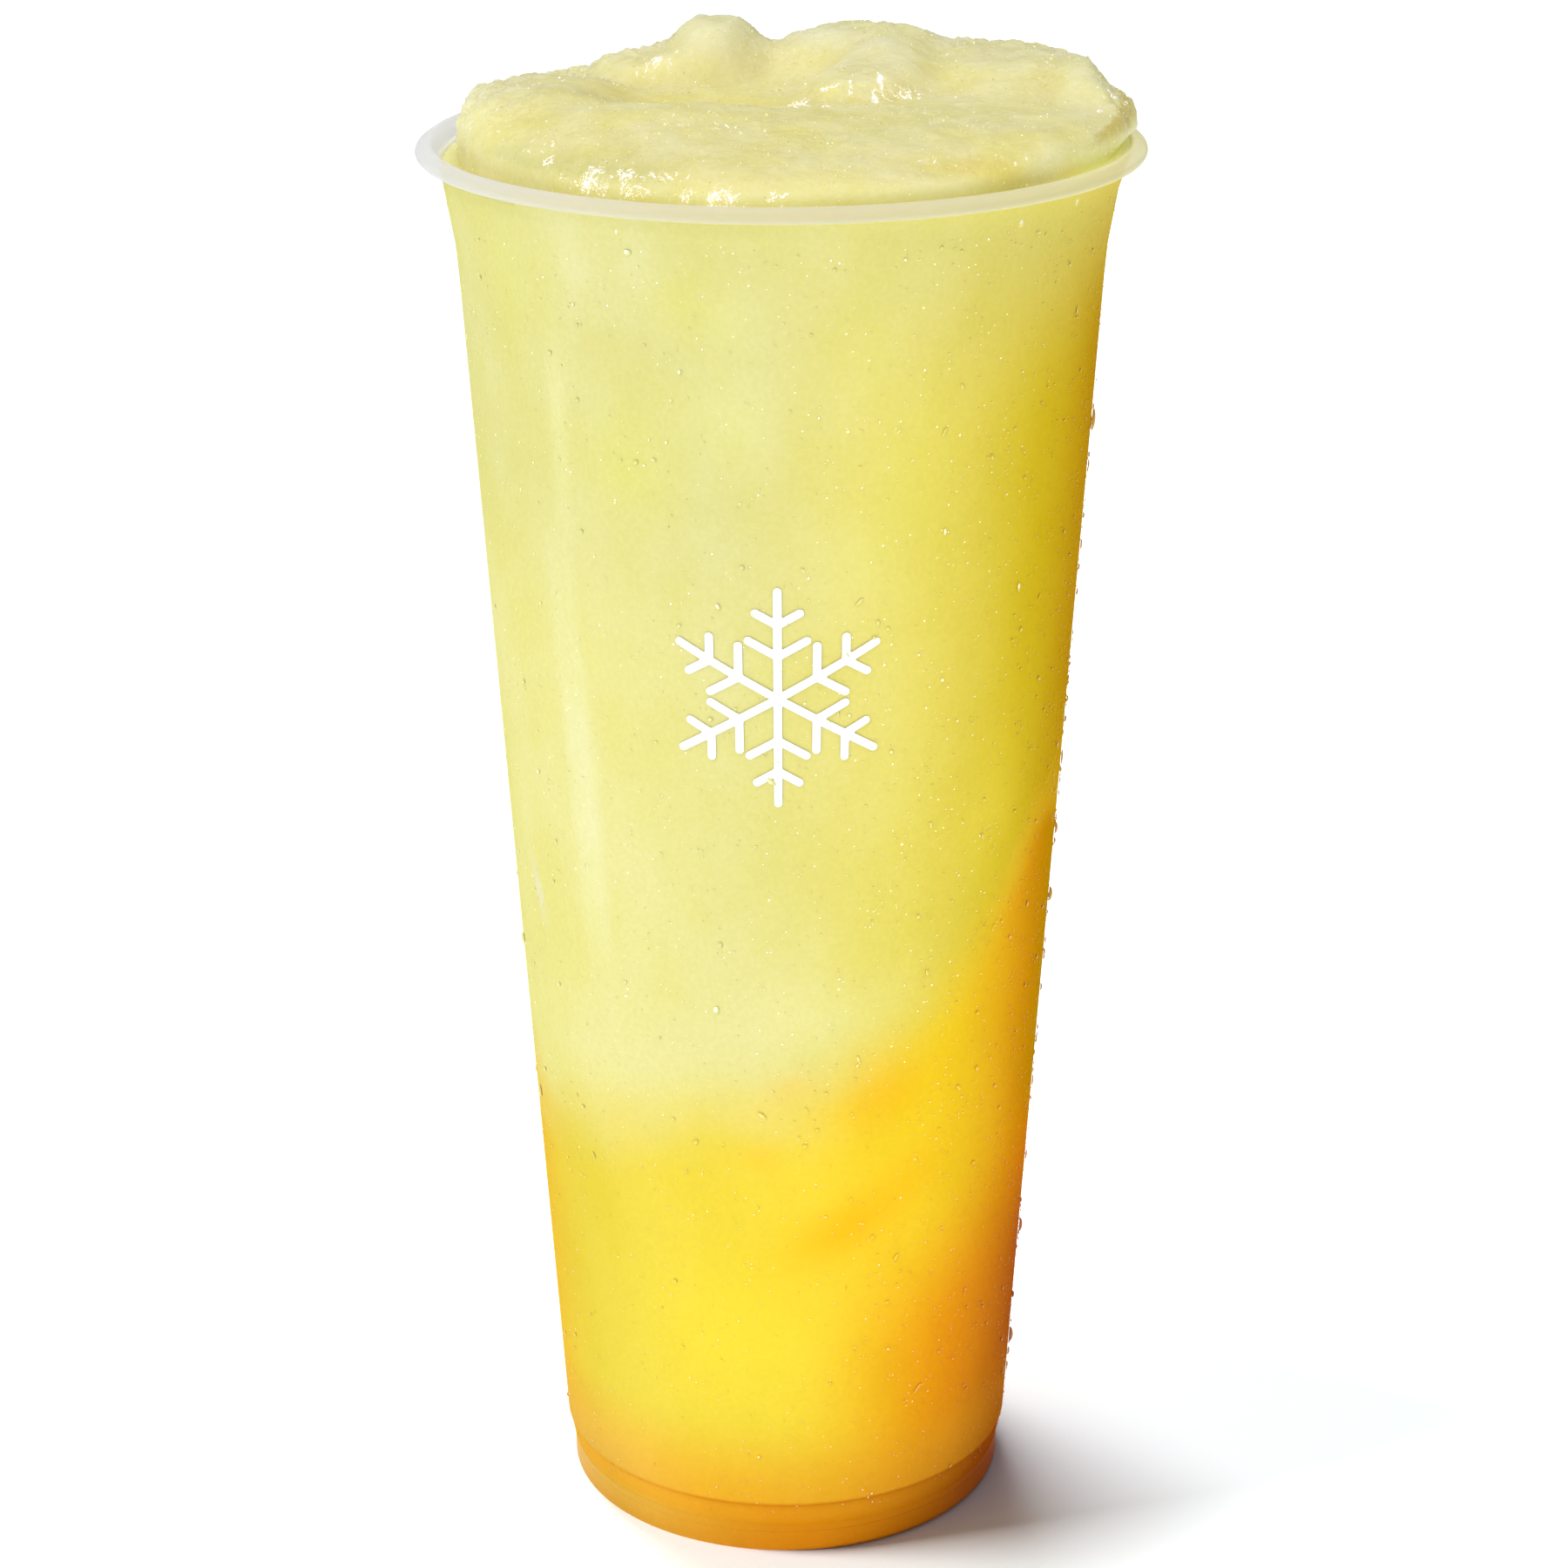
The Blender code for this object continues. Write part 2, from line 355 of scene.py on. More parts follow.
def make_slush(boundary):
    """The slush: the heap, its side against the wall down to the fruit layer, and its underside."""
    flare = [wall_ring(height) for height, radius in reversed(WALL_STATIONS) if FLARE_START <= height < LIP_BASE]
    side = side_rings(FLARE_START, boundary[-1][:, 2])
    return mesh_from_rings("slush_body", heap_rings() + flare + side + boundary[::-1])


def make_fruit_layer(boundary):
    """The fruit layer: its uneven top, its side against the wall, and its flat bottom."""
    rings = boundary + side_rings(boundary[-1][:, 2], SHOULDER_TOP) + [wall_ring(SHOULDER_TOP)]
    for height in FOOT_HEIGHTS:
        rings.append(wall_ring(height, REACH if height > FOOT_REACH_TOP else FOOT_REACH))
    bottom = FLOOR_TOP - REACH
    for radius, count in BOTTOM_RINGS:
        rings.append(ring(radius, bottom, count))
    rings.append(np.array([[0, 0, bottom]]))
    return mesh_from_rings("fruit_body", rings)


def cup_profile():
    """Section of the cup, from the inner floor up over the rim and down to the base."""
    inside = [(0, FLOOR_TOP), (FLOOR_RADIUS, FLOOR_TOP)]
    inside += [(radius - WALL, height) for height, radius in WALL_STATIONS]
    rim = arc(CROWN_CENTRE, CROWN_RADIUS, CROWN_START, CROWN_END, CROWN_STEPS)
    rim += arc(BEAD_CENTRE, BEAD_RADIUS, CROWN_END, -90, BEAD_STEPS)
    outside = [(radius, height) for height, radius in reversed(WALL_STATIONS)]
    foot = arc((FOOT_RADIUS - FOOT_ROUND, FOOT_ROUND), FOOT_ROUND, 0, -90, FOOT_STEPS)
    base = [(FOOT_RING_INNER, 0), (PANEL_RADIUS, PANEL_RECESS), (0, PANEL_RECESS)]
    return inside + rim + outside + foot + base


def make_cup():
    """The cup, turned finely from its section."""
    rings = [ring(radius, height, CUP_STEPS if radius > 0 else 1) for radius, height in cup_profile()]
    made = mesh_from_rings("cup_wall", rings)
    made.data.flip_normals()
    return made


def read(items, name, width=3):
    """A value of each point or face of a mesh."""
    values = np.empty(len(items) * width)
    items.foreach_get(name, values)
    return values.reshape(-1, width)


def mesh_points(made):
    """Points of an object's mesh, in millimetres."""
    return read(made.data.vertices, "co") / MM


def side_value(points, values):
    """A value of four compass points, at each point's side of the cup."""
    return around(np.degrees(np.arctan2(points[:, 1], points[:, 0])), values)


def above_contact(points):
    """Height of each point above the place where the heap meets the wall."""
    return points[:, 2] - side_value(points, CONTACT_HEIGHT)


# Grain of the heap: size of the lumps, how far they stand out, and the noise's seed
GRAIN = ((4.2, 0.07, 2), (2, 0.08, 5), (1, 0.05, 8))
GRAIN_START = 0.02
GRAIN_FADE = 3.5
GRAIN_SINK = 0.35
GRAIN_TOP = 195.2

# Where the grain is coarser: centre, reach and how much more it stands out
COARSE = (
    (9.5, -6, 9, 6.5, 1),
    (42.5, -2, 3, 16, 5),
    (-38, 6, 6, 20, 5),
    (-20, 20, 14, 6, 4.5),
    (24, 22, 18, 8, 5.5),
)


def grain_the_heap(made):
    """Moves the heap's surface in and out by small soft lumps, less towards the rim."""
    mesh = made.data
    points = mesh_points(made)
    normals = read(mesh.vertex_normals, "vector")
    above = above_contact(points)
    share = ease(0, GRAIN_FADE, above)
    for x, y, reach_x, reach_y, more in COARSE:
        share *= 1 + more * patch((points[:, 0] - x) / reach_x, (points[:, 1] - y) / reach_y)
    moved = np.flatnonzero(above > GRAIN_START)
    rise = np.zeros(len(moved))
    for size, depth, seed in GRAIN:
        rise += depth * (2 * np.abs(noise_at(points[moved], size, seed)) - GRAIN_SINK)
    points[moved] += normals[moved] * (rise * share[moved])[:, None]
    points[:, 2] = np.minimum(points[:, 2], GRAIN_TOP)
    mesh.vertices.foreach_set("co", (points * MM).ravel())
    mesh.update()


# Colours of the drink as seen on screen, with painted light and shade among them
PALE = (223, 214, 138)
UPPER = (214, 206, 134)
# Painted shade: dark amber along the right-hand edge, high on the wall
UPPER_EDGE_SHADE = (194, 132, 12)
# Lemon, honey and amber deepen the wall towards the right: partly the syrup's own colour, partly painted shade on the
# side away from the key light
LEMON = (238, 220, 103)
HONEY = (228, 198, 36)
AMBER = (208, 160, 20)
GOLD = (229, 204, 68)
SUN = (254, 214, 42)
ORANGE = (250, 154, 18)
CLOUD = (254, 188, 22)
# Deeper orange and brown for the right-hand side of the fruit layer: partly the syrup's own colour, partly painted
# shade
DEEP_ORANGE = (230, 136, 5)
BROWN_SYRUP_AND_SHADE = (188, 93, 27)
# Amber along the right-hand edge of the fruit layer: painted shade over the syrup's own colour
EDGE_AMBER_SHADE = (191, 144, 8)
FOOT_ORANGE = (242, 168, 38)
FOOT_PALE = (226, 188, 96)
FOOT_DEEP = (224, 138, 6)
FOOT_HONEY = (236, 190, 68)
# Painted light: a lighter band below the crease, just above the foot ring
FOOT_PAINTED_LIGHT = (240, 162, 36)
# Painted shadow in the crease above the foot
FOOT_CREASE_SHADOW = (196, 104, 2)
FOOT_EDGE = (204, 116, 2)
# Darker low on the right: partly the syrup's own colour, partly painted shade
FOOT_SYRUP_AND_SHADE = (182, 84, 14)
HEAP = (236, 227, 162)
HEAP_YELLOW = (233, 223, 132)
ICE = (228, 224, 183)
HEAP_FOOT = (224, 218, 151)
# Painted shade along the crest at the heap's front left
HEAP_CREST_SHADE = (208, 202, 134)
# Painted light, low at both ends of the heap where it meets the rim
HEAP_ENDS_LIGHT = (254, 244, 172)
# Painted shade in the heap's hollow, which is yellower too
HEAP_HOLLOW_SHADE = (224, 210, 118)
HEAP_HONEY = (226, 206, 104)
# Painted shade on the undercut face at the heap's right end
UNDERCUT_SHADE = (212, 192, 112)
# Painted reflection of a soft light, a pale streak at the left of the wall
REFLECTION_STREAK = (234, 230, 184)

# Milky rim at the right, behind, at the left and in front
RIM = ((250, 246, 204), (236, 233, 224), (235, 233, 236), (240, 233, 208))

# Where the back begins, and where the colours of the right-hand and left-hand edge fade, in degrees from the front
BACK_BEGINS = (95, 150)
RIGHT_FADES = (88, 142)
LEFT_FADES = (95, 160)
BACK_LIGHT = 0.12
LEFT_SYRUP_SHADE = 0.1
LEFT_FOOT_SHADE = 0.08

# Heights: where the right-hand side's deeper colours fade out towards the rim, the crease above the foot, and the line
# of painted shadow just below it
RIM_FADE = (150, 182)
CREASE = (7.4, 8.1)
CREASE_SHADOW = 7.6
CREASE_SHADOW_WIDTH = 0.28

# Pale streak that leans down the wall at the left, a painted reflection of a soft light, and the wisps that blur the
# boundary of the layers
STREAK_ANGLE = -47
STREAK_LEAN = 0.07
STREAK_TOP = 165
STREAK_WIDTH = 4
WISP_STRETCH = (1, 1, 1.6)
WISP_SIZE = 9
WISP_SEED = 21

# Noise that varies the heap's colours, as size and seed, and the band of painted shade along the crest at its front
# left
HEAP_WISPS = (7, 31)
HEAP_RAGGED = (2.2, 17)
CREST_LEVEL = 184.6
CREST_WIDTH = 1.1

# Soft patches on the heap: centre, reach along x and y, strength and colour; the one in the hollow is painted shade
HEAP_PATCHES = (
    (-33, -2, 8, 9, 0.5, ICE),
    (-12, -4, 13, 6, 0.8, HEAP_HOLLOW_SHADE),
    (25, -33, 7, 3, 0.6, HEAP_HONEY),
    (38, -5, 4, 16, 0.4, ICE),
)

# Soft clouds on the wall: angle, height, reach round the wall in degrees, reach up it, tilt, strength and colour
CLOUDS = (
    (22, 67.5, 11, 5, 0.1, 0.55, CLOUD),
    (14, 49, 13, 3.8, 0.26, 0.75, CLOUD),
    (30, 55, 12, 5, 0.25, 0.4, CLOUD),
    (-5, 59.5, 4, 2, 0, 0.25, CLOUD),
    (2, 69.5, 5, 2, 0.1, 0.25, CLOUD),
    (-10, 33, 22, 12, 0, 0.35, (253, 230, 60)),
    (46, 104, 10, 10, 0.2, 0.35, (252, 226, 78)),
    (-27, 150, 10, 7, 0, 0.4, (224, 219, 116)),
    (-12, 158, 11, 6, 0, 0.35, (228, 223, 156)),
    (24, 149, 8, 9, 0, 0.3, (240, 228, 112)),
    (-37, 174, 5.5, 4.5, 0, 0.5, (226, 222, 172)),
    (-25, 175.5, 4, 2.6, 0, 0.35, (228, 224, 172)),
    (-53, 170, 5, 7, 0, 0.35, (216, 212, 112)),
    (-17, 170, 6, 4, 0, 0.4, (222, 215, 112)),
    (-8.5, 168, 4.5, 3.5, 0, 0.45, (232, 227, 158)),
    (-7, 155.5, 6, 5, 0, 0.4, (232, 226, 150)),
    (-42.5, 154, 2.2, 13, 0, 0.45, (230, 226, 162)),
    (15, 164, 6, 5, 0, 0.3, (236, 226, 118)),
    (15.5, 140, 6, 7, 0.1, 0.3, (238, 230, 132)),
    (5, 79, 12, 5, 0.1, 0.35, (236, 228, 152)),
    (-62.5, 89.3, 2.2, 2.2, -0.9, 0.65, (226, 220, 210)),
)


def linear(colour):
    """A colour as seen on screen, from 0 to 255, as linear light."""
    share = np.array(colour) / 255
    return np.where(share <= 0.04045, share / 12.92, ((share + 0.055) / 1.055) ** 2.4)


def washed(points, base, washes):
    """A base colour at each point, moved in turn towards other colours by amounts of 0 to 1."""
    colours = np.tile(linear(base), (len(points), 1))
    for amount, colour in washes:
        colours += np.clip(amount, 0, 1)[:, None] * (linear(colour) - colours)
    return colours


def patch(across, along):
    """A soft round patch: 1 at its middle, and about a third where either distance is 1."""
    return np.exp(-across ** 2 - along ** 2)


def drink_colours(points):
    """Colour of the drink at each point of its surface, from soft washes of a few colours. Towards the right it grows
    deeper and darker, partly as the syrup's own colour and partly as painted shade.

    The angle is 0 in front and positive to the right. What is painted at either side fades towards the back.
    """
    angle = np.degrees(np.arctan2(points[:, 0], -points[:, 1]))
    height = points[:, 2]
    radius = np.hypot(points[:, 0], points[:, 1])
    share = np.clip(radius / (inner_radius(height) + REACH), 0, 1)
    behind = ease(*BACK_BEGINS, np.abs(angle))
    under_rim = 1 - ease(*RIM_FADE, height)
    wisps = noise_at(points * WISP_STRETCH, WISP_SIZE, WISP_SEED)

    def right(start, full):
        return ease(start, full, angle) * (1 - ease(*RIGHT_FADES, angle))

    def left(start, full):
        return ease(start, full, -angle) * (1 - ease(*LEFT_FADES, -angle))

    def above(start, full):
        return ease(start, full, height)

    def below(full, end):
        return 1 - ease(full, end, height)

    over_layer = height - layer_height(share, angle - 90) + 3 * wisps + 7 * right(55, 80)
    syrup = 1 - ease(-1, 1, over_layer / (10 - 4.5 * right(20, 65)))
    washes = [
        # Deeper towards the right: partly the syrup's own colour, partly painted shade, fading out towards the rim
        (right(-14, 34) * (0.35 + 0.65 * under_rim), LEMON),
        (right(18, 56) * (0.25 + 0.75 * under_rim), HONEY),
        (right(40, 80) * (0.25 + 0.75 * under_rim), AMBER),
        (0.8 * above(122, 150) * left(-12, 24), UPPER),
        # Painted shade along the right-hand edge, high on the wall
        (0.5 * right(56, 84) * above(96, 120) * under_rim, UPPER_EDGE_SHADE),
        (syrup, GOLD),
        (syrup * np.maximum(ease(-35, 40, angle), behind), SUN),
        # Deeper orange to the right in the fruit layer: partly the syrup's own colour, partly painted shade
        (syrup * right(28, 78), DEEP_ORANGE),
        (0.35 * syrup * left(50, 85), ORANGE),
    ]
    for centre, middle, reach, rise, tilt, strength, colour in CLOUDS:
        across = angle_between(angle, centre)
        washes.append((strength * patch(across / reach, (height - middle - tilt * across) / rise), colour))
    # Painted reflection: a pale streak that leans down the left of the wall
    along = angle_between(angle, STREAK_ANGLE + STREAK_LEAN * (STREAK_TOP - height))
    sunk = right(0, 46) * (1 - ease(24, 52, height - 0.1 * angle))
    low = below(7, 22)
    foot = below(*CREASE)
    washes += [
        (0.38 * np.exp(-(along / STREAK_WIDTH) ** 4) * above(72, 92) * below(118, 150), REFLECTION_STREAK),
        (0.9 * sunk, ORANGE),
        # Browner further to the right: partly the syrup's own colour, partly painted shade
        (sunk * ease(32, 84, angle), BROWN_SYRUP_AND_SHADE),
        # Painted shade over the syrup along the right-hand edge
        (0.9 * syrup * right(50, 86) * above(48, 62), EDGE_AMBER_SHADE),
        (0.8 * low, FOOT_ORANGE),
        (0.5 * low * left(10, 65), FOOT_PALE),
        (foot * (1 - 0.25 * above(2, 6.5)), FOOT_DEEP),
        (foot * (0.55 + 0.3 * above(2, 6.5)) * left(-6, 48), FOOT_HONEY),
        (0.4 * below(2, 5) * right(-8, 30), FOOT_EDGE),
        # Painted light above the foot ring, less on the shaded right
        (0.5 * foot * above(4.4, 5.4) * (1 - 0.7 * right(54, 76)), FOOT_PAINTED_LIGHT),
        # Painted shadow in the crease, under the ledge above the foot
        (0.55 * np.exp(-((height - CREASE_SHADOW) / CREASE_SHADOW_WIDTH) ** 2) * right(-75, -10), FOOT_CREASE_SHADOW),
        # Darker low on the right: partly the syrup's own colour, partly painted shade
        (0.5 * right(42, 74) * below(8, 24), FOOT_SYRUP_AND_SHADE),
        (right(10, 80) * (1 - 0.6 * above(*CREASE)) * below(7.4, 15), FOOT_SYRUP_AND_SHADE),
    ]
    light = 1 - left(20, 60) * (LEFT_SYRUP_SHADE * syrup + LEFT_FOOT_SHADE * below(6, 12))
    return np.clip(washed(points, PALE, washes) * (light * (1 + BACK_LIGHT * behind))[:, None], 0, 1)


def heap_colours(points):
    """Colour of the heap: paler and icier where it stands up, yellower low by the front rim, with painted shade in the
    hollow, along the front crest and on the undercut at the right end, and painted light low at both ends.
    """
    x, y, z = points.T
    wisps = noise_at(points, *HEAP_WISPS)
    ragged = noise_at(points, *HEAP_RAGGED)
    undercut = ease(41.3, 41.6, np.hypot(x, y) + 0.5 * ragged) * ease(35.5, 38.5, x)
    crest_shade = np.exp(-((z - CREST_LEVEL) / CREST_WIDTH) ** 2) * ease(-14, -24, y) * ease(-9, -18, x)
    ends = ease(29, 37, x) + 0.3 * ease(29, 37, -x)
    washes = [
        (0.45 * ease(-0.4, 0.5, wisps) * ease(-4, -20, y), HEAP_YELLOW),
        (0.6 * ease(189, 193.5, z), ICE),
    ]
    for centre_x, centre_y, reach_x, reach_y, strength, colour in HEAP_PATCHES:
        washes.append((strength * patch((x - centre_x) / reach_x, (y - centre_y) / reach_y), colour))
    washes += [
        # Painted shade on the undercut face at the right end
        (0.9 * undercut * (1 - ease(187.6, 188.6, z + 0.6 * ragged)), UNDERCUT_SHADE),
        # Painted shade along the front crest
        (0.9 * crest_shade, HEAP_CREST_SHADE),
        (0.85 * (1 - ease(182.4, 184.4, z)), HEAP_FOOT),
        # Painted light low at both ends, where the heap meets the rim
        (ends * (1 - ease(183.4, 186, z)), HEAP_ENDS_LIGHT),
    ]
    return washed(points, HEAP, washes)


def cup_colours(points):
    """Colour of the cup: milky at the rim, creamier to the right, and that of the drink at the foot."""
    rim = np.column_stack([side_value(points, side) for side in zip(*[linear(colour) for colour in RIM])])
    return np.where(points[:, 2:] > FLARE_START, rim, drink_colours(points))


def store_tint(mesh, colours):
    """Stores a colour for each point of a mesh."""
    tint = np.column_stack((colours, np.ones(len(colours)))).astype(np.float32)
    mesh.attributes.new("tint", "FLOAT_COLOR", "POINT").data.foreach_set("color", tint.ravel())


def paint(made):
    """Stores the drink's colour at each point, and gives the heap's faces the second material."""
    mesh = made.data
    points = mesh_points(made)
    colours = drink_colours(points)
    open_to_air = above_contact(points) > CONTACT_SLACK
    colours[open_to_air] = heap_colours(points[open_to_air])
    store_tint(mesh, colours)
    centres = read(mesh.polygons, "center") / MM
    mesh.polygons.foreach_set("material_index", (above_contact(centres) > 0).astype(np.int32))


def wall_frame(angle, height):
    """Places on the cup's wall, and at each the directions round the wall, up it and out of it."""
    vertical = np.array((0, 0, 1))
    round_wall = np.column_stack((*polar(1, np.radians(angle)), np.zeros_like(angle)))
    out = np.cross(round_wall, vertical)
    places = outer_radius(height)[:, None] * out + height[:, None] * vertical
    slope = outer_radius(height + 0.5) - outer_radius(height - 0.5)
    up = unit(slope[:, None] * out + vertical)
    return places, np.stack((round_wall, up, np.cross(round_wall, up)), axis=1)


def dome(sides, levels):
    """A unit dome, open below: its points and its triangles."""
    points = []
    for level in range(levels):
        tilt = math.radians(90 * level / levels)
        for side in range(sides):
            turn = 2 * math.pi * (side + 0.5 * level) / sides
            points.append((*polar(math.cos(tilt), turn), math.sin(tilt)))
    points.append((0, 0, 1))
    faces = []
    for level in range(levels - 1):
        for side in range(sides):
            a, b = level * sides + side, level * sides + (side + 1) % sides
            faces += [(a, b, a + sides), (b, b + sides, a + sides)]
    last = (levels - 1) * sides
    faces += [(last + side, last + (side + 1) % sides, len(points) - 1) for side in range(sides)]
    return np.array(points), np.array(faces)


def scatter(name, shape, places, axes, sizes, smooth=True):
    """One mesh of many copies of a small shape, each with its own place, directions and size."""
    form, faces = shape
    points = places[:, None, :] + np.einsum("pk,nk,nkj->npj", form, sizes, axes)
    starts = np.arange(len(places))[:, None, None] * len(form)
    return mesh_from(name, points.reshape(-1, 3) * MM, (faces[None] + starts).reshape(-1, 3).tolist(), smooth)


def scatter_beads(name, shape, places, axes, sizes, lean, strengths, glint_span=(0.55, 0.98)):
    """Beads in the colour of the drink behind them, each with a painted white highlight that leans to the upper left.
    """
    made = scatter(name, shape, places, axes, sizes)
    form = shape[0]
    store_tint(made.data, np.repeat(drink_colours(places), len(form), axis=0))
    toward = Vector((-lean, lean, 1)).normalized()
    painted_glint = ease(*glint_span, form @ np.array(toward))
    values = (strengths[:, None] * painted_glint).astype(np.float32).ravel()
    made.data.attributes.new("painted_glint", "FLOAT", "POINT").data.foreach_set("value", values)
    return made


# Seeds of the random draws
MIST_SEED = 11
BEAD_SEED = 23
DROP_SEED = 5
GLITTER_SEED = 41
GRAIN_SEED = 67

# Beads of condensation: heights on the wall, the side where they crowd, and what is kept of them elsewhere
BEAD_HEIGHTS = (6, 178)
CROWD_ANGLE = 60
CROWD_WIDTH = 55
CROWD_SHARE = 0.6
THIN_SHARE = 0.4
MIST_COUNT = 9000
MIST_RADIUS = (0.045, 0.125)
MIST_STRETCH = (0.9, 1.3)
MIST_RISE = 0.6
MIST_RARITY = 2.8
MIST_GLINT_SPAN = (0.1, 0.7)
BEAD_COUNT = 1000
BEAD_SMALL = 0.08
BEAD_GROWTH = 0.22
BEAD_STRETCH = 2.5
BEAD_TILT = 50
BEAD_RISE = 0.55
BEAD_RARITY = 5
BEAD_WHITE = 0.7

# How far the painted highlights lean to the upper left, towards the key light: mist, beads and drops
MIST_LEAN = 0.2
BEAD_LEAN = 0.35
DROP_LEAN = 0.5

# More beads along the right-hand outline: number, angles, heights and radii
EDGE_COUNT = 150
EDGE_ANGLES = (82, 100)
EDGE_HEIGHTS = (12, 150)
EDGE_BEAD_RADIUS = (0.15, 0.45)


def bead_spots(source, count):
    """Angles and heights on the wall, more of them on the right-hand side."""
    angle = source.uniform(-180, 180, count * 3)
    height = source.uniform(*BEAD_HEIGHTS, count * 3)
    crowd = np.exp(-(angle_between(angle, CROWD_ANGLE) / CROWD_WIDTH) ** 2)
    keep = source.random(count * 3) < THIN_SHARE + CROWD_SHARE * crowd
    return angle[keep][:count], height[keep][:count]


def bead_light(source, angle, height, rarity):
    """How strong each bead's painted highlight is: few are bright, fewer low down, and on the shaded side hardly any.
    """
    bright = source.random(len(angle)) ** rarity * (0.45 + 0.55 * ease(40, 85, height))
    return bright * (1 - 0.9 * ease(25, 60, angle) * (1 - ease(120, 150, angle)))


def make_mist():
    """Very fine beads of condensation all over the wall."""
    source = np.random.default_rng(MIST_SEED)
    angle, height = bead_spots(source, MIST_COUNT)
    places, axes = wall_frame(angle, height)
    radius = source.uniform(*MIST_RADIUS, len(angle))
    sizes = np.column_stack((radius, radius * source.uniform(*MIST_STRETCH, len(angle)), radius * MIST_RISE))
    white = bead_light(source, angle, height, MIST_RARITY)
    return scatter_beads("mist_beads", dome(6, 2), places, axes, sizes, MIST_LEAN, white, MIST_GLINT_SPAN)


def make_beads():
    """Small drops on the wall, a few of them drawn out, and more along the right-hand side."""
    source = np.random.default_rng(BEAD_SEED)
    angle, height = bead_spots(source, BEAD_COUNT)
    angle = np.concatenate((angle, source.uniform(*EDGE_ANGLES, EDGE_COUNT)))
    height = np.concatenate((height, source.uniform(*EDGE_HEIGHTS, EDGE_COUNT)))
    places, axes = wall_frame(angle, height)
    radius = BEAD_SMALL + BEAD_GROWTH * source.random(len(angle)) ** 3
    radius[-EDGE_COUNT:] = source.uniform(*EDGE_BEAD_RADIUS, EDGE_COUNT)
    stretch = 1 + BEAD_STRETCH * source.random(len(angle)) ** 8
    tilt = source.uniform(-BEAD_TILT, BEAD_TILT, len(angle))[:, None]
    axes[:, 1], axes[:, 0] = turned(axes[:, 1], axes[:, 0], tilt)
    sizes = np.column_stack((radius, radius * stretch, radius * BEAD_RISE))
    white = BEAD_WHITE * bead_light(source, angle, height, BEAD_RARITY)
    return scatter_beads("wall_beads", dome(10, 4), places, axes, sizes, BEAD_LEAN, white)


# Larger drops: angle, height, half width, half length, how far they stand out, and how strong their painted highlight
# is
DROPS = (
    (84, 147.5, 0.8, 1.5, 0.45, 0),
    (86, 83, 0.6, 1, 0.45, 0),
    (85, 92.5, 0.4, 0.8, 0.35, 0),
    (85, 35, 0.6, 1, 0.45, 0),
    (86, 18, 0.7, 1.1, 0.5, 0),
    (-80, 78.5, 0.6, 0.7, 0.3, 0.1),
    (-76, 57.5, 0.6, 0.8, 0.3, 0.1),
    (41.5, 178.2, 0.4, 0.6, 0.25, 0.2),
    (55.3, 179.2, 0.4, 0.7, 0.3, 0.2),
    (30, 141.5, 0.25, 0.5, 0.15, 0.3),
    (49, 132, 0.25, 0.6, 0.15, 0.3),
    (-14, 80, 0.35, 0.5, 0.2, 0.8),
    (-26.7, 178.6, 0.14, 0.6, 0.1, 1),
    (-25.2, 176.2, 0.45, 0.35, 0.1, 0.35),
    (-37, 168.9, 0.14, 0.2, 0.1, 0.9),
    (-17.3, 162.2, 0.16, 0.3, 0.1, 0.9),
    (-19, 158.7, 0.12, 0.2, 0.1, 0.8),
    (-20.1, 153.5, 0.14, 0.24, 0.1, 0.9),
    (-24.4, 150.4, 0.2, 0.14, 0.1, 0.8),
    (-23.3, 153.6, 0.12, 0.2, 0.1, 0.7),
    (24.6, 161.9, 0.14, 0.2, 0.1, 0.8),
    (6.2, 157, 0.12, 0.2, 0.1, 0.8),
    (16.7, 156.1, 0.12, 0.18, 0.1, 0.7),
)
HIDDEN_DROPS = 26
HIDDEN_LEAST = (100, 15, 0.3, 0.4, 0.15, 0.1)
HIDDEN_MOST = (270, 170, 0.6, 1, 0.35, 0.6)


def make_drops():
    """The larger drops on the wall, and more round the back."""
    source = np.random.default_rng(DROP_SEED)
    more = source.uniform(HIDDEN_LEAST, HIDDEN_MOST, (HIDDEN_DROPS, len(HIDDEN_MOST)))
    rows = np.vstack((np.array(DROPS), more))
    places, axes = wall_frame(rows[:, 0], rows[:, 1])
    return scatter_beads("large_drops", dome(24, 7), places, axes, rows[:, 2:5], DROP_LEAN, rows[:, 5])


